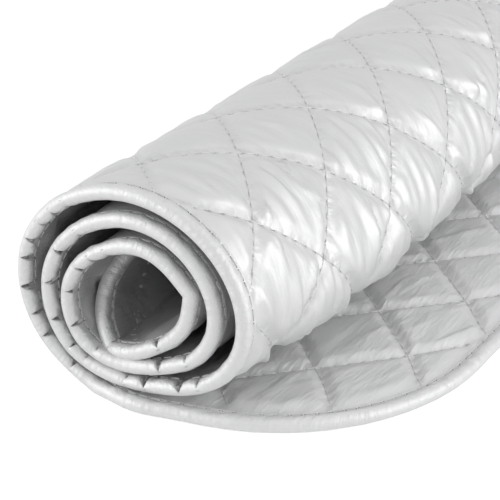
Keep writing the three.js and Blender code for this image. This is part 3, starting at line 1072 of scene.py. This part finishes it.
def tapePiece(name, stations):
    u, v = stations[..., 0], stations[..., 1]
    inset = np.broadcast_to(section[None, :, 0], u.shape)
    level = underDarts(u, v, inset, section[None, :, 1])
    # painted shade in the darts, by how far they cut into the tape
    crease = np.clip((section[None, :, 1] - level) / darts["dark"], 0, 1)
    level = level + tapeRipple(u, v, inset)
    for side in (-1, 1):
        level = np.where(onSide(u, v, side) & (level > 0), level - tapePillow(u, side), level)
    points = place(u, v, level)
    points[..., 2] = np.maximum(points[..., 2], 0)
    count = len(section)
    ids = np.arange(u.size).reshape(u.shape)
    following = np.roll(ids, -1, axis=1)
    quads = np.stack([ids[:-1], ids[1:], following[1:], following[:-1]], -1).reshape(-1, 4).tolist()
    quads.append(ids[0].tolist())
    quads.append(ids[-1][::-1].tolist())
    along = np.repeat(runLengths(stations[:, count // 2]), count)
    across = np.tile(section[:, 0] * np.sign(section[:, 1]), len(u))
    uv = np.stack([along, across], -1)
    piece = addMesh(name, points.reshape(-1, 3), quads, uv, tapeFinish, crease.ravel())
    work = bmesh.new()
    work.from_mesh(piece.data)
    bmesh.ops.recalc_face_normals(work, faces=work.faces)
    for edge in work.edges:
        edge.smooth = all(len(face.verts) == 4 for face in edge.link_faces)
    work.to_mesh(piece.data)
    work.free()
    return piece


def spaced(start, stop, step):
    return np.linspace(start, stop, max(2, int(abs(stop - start) / step) + 1))


quarter = spaced(0, math.pi / 2, tape["cornerStep"])
tapes = {}
for body, start, stop in (("free_end_middle", *foldLines[0:2]), ("free_end_root_side", *foldLines[1:3])):
    run = spaced(start, stop, tape["step"])
    for label, side in (("near", -1), ("far", 1)):
        name = f"{body}_{label}_tape"
        tapes[name] = tapePiece(name + "_binding", acrossStations(run, side))

foldTurn = math.asin((pad["corner"] - foldLines[0]) / (pad["corner"] - pad["tapeWidth"]))
tipTurns = quarter[quarter > foldTurn + tape["afterFold"]]
tapes["free_end_tip_tape"] = tapePiece("free_end_tip_tape_binding", np.concatenate([
    acrossStations(foldLines[:1], 1),
    cornerStations(tipTurns, -1, 1),
    endStations(-1),
    cornerStations(tipTurns[::-1], -1, -1),
    acrossStations(foldLines[:1], -1),
]))


def sideRun(side):
    evenly = spaced(foldLines[2], pad["length"] - pad["corner"], tape["rollStep"])[:-1]
    near = [at + away for at, *_ in dartsOfSide[side] for away in tape["atDart"]]
    return np.unique(np.round(np.concatenate([evenly, near]), 5))


tapes["roll_tape"] = tapePiece("roll_tape_binding", np.concatenate([
    acrossStations(sideRun(-1), -1),
    cornerStations(quarter, 1, -1),
    endStations(1)[::-1],
    cornerStations(quarter[::-1], 1, 1),
    acrossStations(sideRun(1)[::-1], 1),
]))
print("tape bound:", len(tapes["roll_tape"].data.polygons), "faces")

# Stitches: short threads that dip into the cloth at both ends
stitch = {
    "radius": 0.00026,
    "sides": 5,
    "share": 0.94,  # of the pitch that a stitch covers
    "dip": 0.00024,
    "rings": [  # place along the stitch, shares of the radius, the dip and the painted shade at the holes
        (0, 0.7, 1.5, 1),
        (0.06, 0.9, 0.8, 0.9),
        (0.15, 1, 0, 0),
        (0.85, 1, 0, 0),
        (0.94, 0.9, 0.8, 0.9),
        (1, 0.7, 1.5, 1),
    ],
    "quiltHoles": 0.28,  # painted shade of the stitch holes in the covers
    "bindHoles": 1.0,  # and in the tape
    "fromTape": 0.002,  # the quilting stops this far from it
    "up": 0.001,  # step that shows which way is out of the cloth
}
quiltPitch = quilt["stitchRows"] * cell * math.sqrt(2)


def stitchMesh(name, starts, stops, ups, material, holeShade):
    along = stops - starts
    along /= np.linalg.norm(along, axis=1, keepdims=True)
    across = np.cross(along, ups)
    across /= np.linalg.norm(across, axis=1, keepdims=True)
    up = np.cross(across, along)
    rings = []
    for t, size, sunk, _ in stitch["rings"]:
        middle = starts + t * (stops - starts) - sunk * stitch["dip"] * up
        for i in range(stitch["sides"]):
            a = fullTurn * i / stitch["sides"]
            rings.append(middle + size * stitch["radius"] * (math.cos(a) * across + math.sin(a) * up))
    points = np.stack(rings, 1)
    n = stitch["sides"]
    last = len(stitch["rings"]) - 1
    one = []
    for i in range(n):
        j = (i + 1) % n
        one += [[r * n + i, r * n + j, (r + 1) * n + j, (r + 1) * n + i] for r in range(last)]
    one += [list(range(n))[::-1], list(range(last * n, (last + 1) * n))]
    count = (last + 1) * n
    faces = [[corner + count * k for corner in face] for k in range(len(starts)) for face in one]
    # painted shade at the stitch holes, carried by the crease attribute
    dark = holeShade * np.tile(np.repeat([ring[3] for ring in stitch["rings"]], n), len(starts))
    return addMesh(name, points.reshape(-1, 3), faces, np.zeros((len(starts) * count, 2)), material, dark)


def quiltSeams(uFrom, uTo):
    found = []
    half = pad["width"] / 2
    rows = quilt["stitchRows"]
    firstStitch = math.ceil((uFrom - quilt["endMargin"]) / cell / rows)
    lastStitch = math.floor((uTo - quilt["endMargin"]) / cell / rows)
    for family in (1, -1):
        for n in range(*quilt["seamNumbers"]):
            s = quilt["endMargin"] + (np.arange(firstStitch, lastStitch) + 0.5) * rows * cell
            across = n * quilt["diagonal"] - family * (s - quilt["endMargin"]) + quilt["sideShift"]
            inside = np.abs(across) < half
            found.append(np.stack([s[inside], across[inside], np.full(inside.sum(), -family)], -1))
    return np.concatenate(found)


def seamStitches(uFrom, uTo, side):
    seams = quiltSeams(uFrom, uTo)
    u, v, lean = seams.T
    chosen = rimDistance(u, v) > pad["tapeWidth"] + stitch["fromTape"]
    u, v, lean = u[chosen], v[chosen], lean[chosen]
    half = stitch["share"] * quiltPitch / 2 / math.sqrt(2)
    level = side * (seamLevel(u, v) + quilt["bead"])
    starts = place(u - half, v - lean * half, level)
    stops = place(u + half, v + lean * half, level)
    ups = place(u, v, level + side * stitch["up"]) - place(u, v, level)
    return u, starts, stops, ups


def rimStitches(side):
    inset = tape["stitchInset"]
    reach = pad["corner"] - inset
    straight = pad["width"] / 2 - pad["corner"]
    free, core = pad["corner"], pad["length"] - pad["corner"]  # where the corners of the two ends begin
    turns = np.linspace(0, math.pi / 2, tape["linePoints"][0])
    sides = np.linspace(free, core, tape["linePoints"][1])
    flatLine = []
    flatLine += [(u, -pad["width"] / 2 + inset) for u in sides]
    flatLine += [(core + reach * math.sin(t), -straight - reach * math.cos(t)) for t in turns]
    flatLine += [(core + reach * math.cos(t), straight + reach * math.sin(t)) for t in turns]
    flatLine += [(u, pad["width"] / 2 - inset) for u in sides[::-1]]
    flatLine += [(free - reach * math.sin(t), straight + reach * math.cos(t)) for t in turns]
    flatLine += [(free - reach * math.cos(t), -straight - reach * math.sin(t)) for t in turns]
    line = np.array(flatLine)
    run = runLengths(line)
    middles = np.arange(0, run[-1], tape["stitchPitch"])
    half = stitch["share"] * tape["stitchPitch"] / 2
    ends = [[np.interp(middles + d, run, line[:, i]) for i in (0, 1)] for d in (-half, half)]
    u = np.interp(middles, run, line[:, 0])
    v = np.interp(middles, run, line[:, 1])
    level = np.full(len(u), tape["stitchLevel"])
    if side > 0:
        level = underDarts(u, v, inset, level)
    starts = place(*ends[0], side * level)
    stops = place(*ends[1], side * level)
    ups = place(u, v, side * (level + stitch["up"])) - place(u, v, side * level)
    return u, starts, stops, ups


def onBody(u, body):
    first, last = stretches[body]["rows"]
    low = quilt["endMargin"] + first * cell if first > 0 else 0
    high = pad["length"] if body == "roll" else quilt["endMargin"] + last * cell
    return (u >= low) & (u < high)


threads = {}
quiltRuns = [seamStitches(0, quilt["endMargin"] + innerCover["fineTo"] * cell, 1)]
quiltRuns.append(seamStitches(foldLines[2], quilt["endMargin"] + outerCover["fineTo"] * cell, -1))
rimRuns = [rimStitches(1), rimStitches(-1)]
for body in stretches:
    for label, runs, material, holeShade in (
        ("quilting_thread", quiltRuns, quiltThread, stitch["quiltHoles"]),
        ("binding_thread", rimRuns, bindThread, stitch["bindHoles"]),
    ):
        parts = [[values[onBody(run[0], body)] for values in run[1:]] for run in runs]
        starts, stops, ups = (np.concatenate(found) for found in zip(*parts))
        name = f"{body}_{label}"
        threads[name] = stitchMesh(name, starts, stops, ups, material, holeShade)
stitchFaces = stitch["sides"] * (len(stitch["rings"]) - 1) + 2
print("stitches sewn:", sum(len(piece.data.polygons) for piece in threads.values()) // stitchFaces)

# Each piece goes with its body: the roll's pieces ride on the roll, those of the free end stay where they
# lie; the solids that they stand in for are hidden
for body, stretch in stretches.items():
    outer = covers[body + "_outer_cover"]
    inner = covers[body + "_inner_cover"]
    bound = [piece for name, piece in tapes.items() if name.startswith(body)]
    sewn = [threads[body + "_quilting_thread"], threads[body + "_binding_thread"]]
    for piece in (outer, inner, waddings[body], *bound, *sewn):
        carry(piece, body)
    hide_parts(body + "_outer_cover")
    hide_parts(body + "_inner_cover")
    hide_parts(body + "_wadding")
    for name, piece in tapes.items():
        if name.startswith(body):
            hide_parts(name)
    low, high = stretch["rows"]
    flat = (pad["width"], (high - low) * cell)  # as cut, before it was sewn and rolled

# Studio: pale floor, soft light, white behind the object
studio = {
    "floor": 3.0,
    "floorUnder": 0.0002,  # clear of the cloth on it
    "floorRough": 0.9,
    "floorColour": (0.92, 0.92, 0.92, 1),
    "floorGlow": 0.55,
    "sky": 0.30,
    "aim": (0.02, -0.1, 0.04),
    "lamps": {  # power in watts, size, place
        "rightWindow": (8.2, 1.1, (1.25, 0.00, 0.50)),
        "frontFill": (9.2, 1.0, (-1.05, -1.10, 0.50)),
        "overhead": (3.6, 2.2, (-0.10, 0.10, 1.70)),
    },
}


def addFloor():
    bpy.ops.object.select_all(action="DESELECT")
    bpy.ops.mesh.primitive_plane_add(size=2 * studio["floor"], location=(0, 0, -studio["floorUnder"]))
    floor = bpy.context.object
    floor.name = "studioFloor"
    finish = newFinish("paleFloor", {
        "Roughness": studio["floorRough"],
        "Base Color": studio["floorColour"],
        "Emission Strength": studio["floorGlow"],
    })
    finish.shade(Emission_Color=finish.mixed(finish.seen(), (0, 0, 0), (1, 1, 1)))
    floor.data.materials.append(finish.owner)


def addWorld():
    world = bpy.data.worlds.new("whiteStudio")
    bpy.context.scene.world = world
    sky = Finish(world, "Background", {"Color": (1, 1, 1, 1)})
    sky.shade(Strength=studio["sky"] + (1 - studio["sky"]) * sky.seen())


def addLamp(name, power, size, at):
    data = bpy.data.lights.new(name, "AREA")
    data.energy = power
    data.size = size
    lamp = bpy.data.objects.new(name, data)
    lamp.location = at
    away = Vector(at) - Vector(studio["aim"])
    lamp.rotation_euler = away.to_track_quat("Z", "Y").to_euler()
    bpy.context.scene.collection.objects.link(lamp)


addFloor()
addWorld()
for name, lamp in studio["lamps"].items():
    addLamp(name, *lamp)
bpy.context.scene.view_settings.view_transform = "Standard"
print("studio lit")
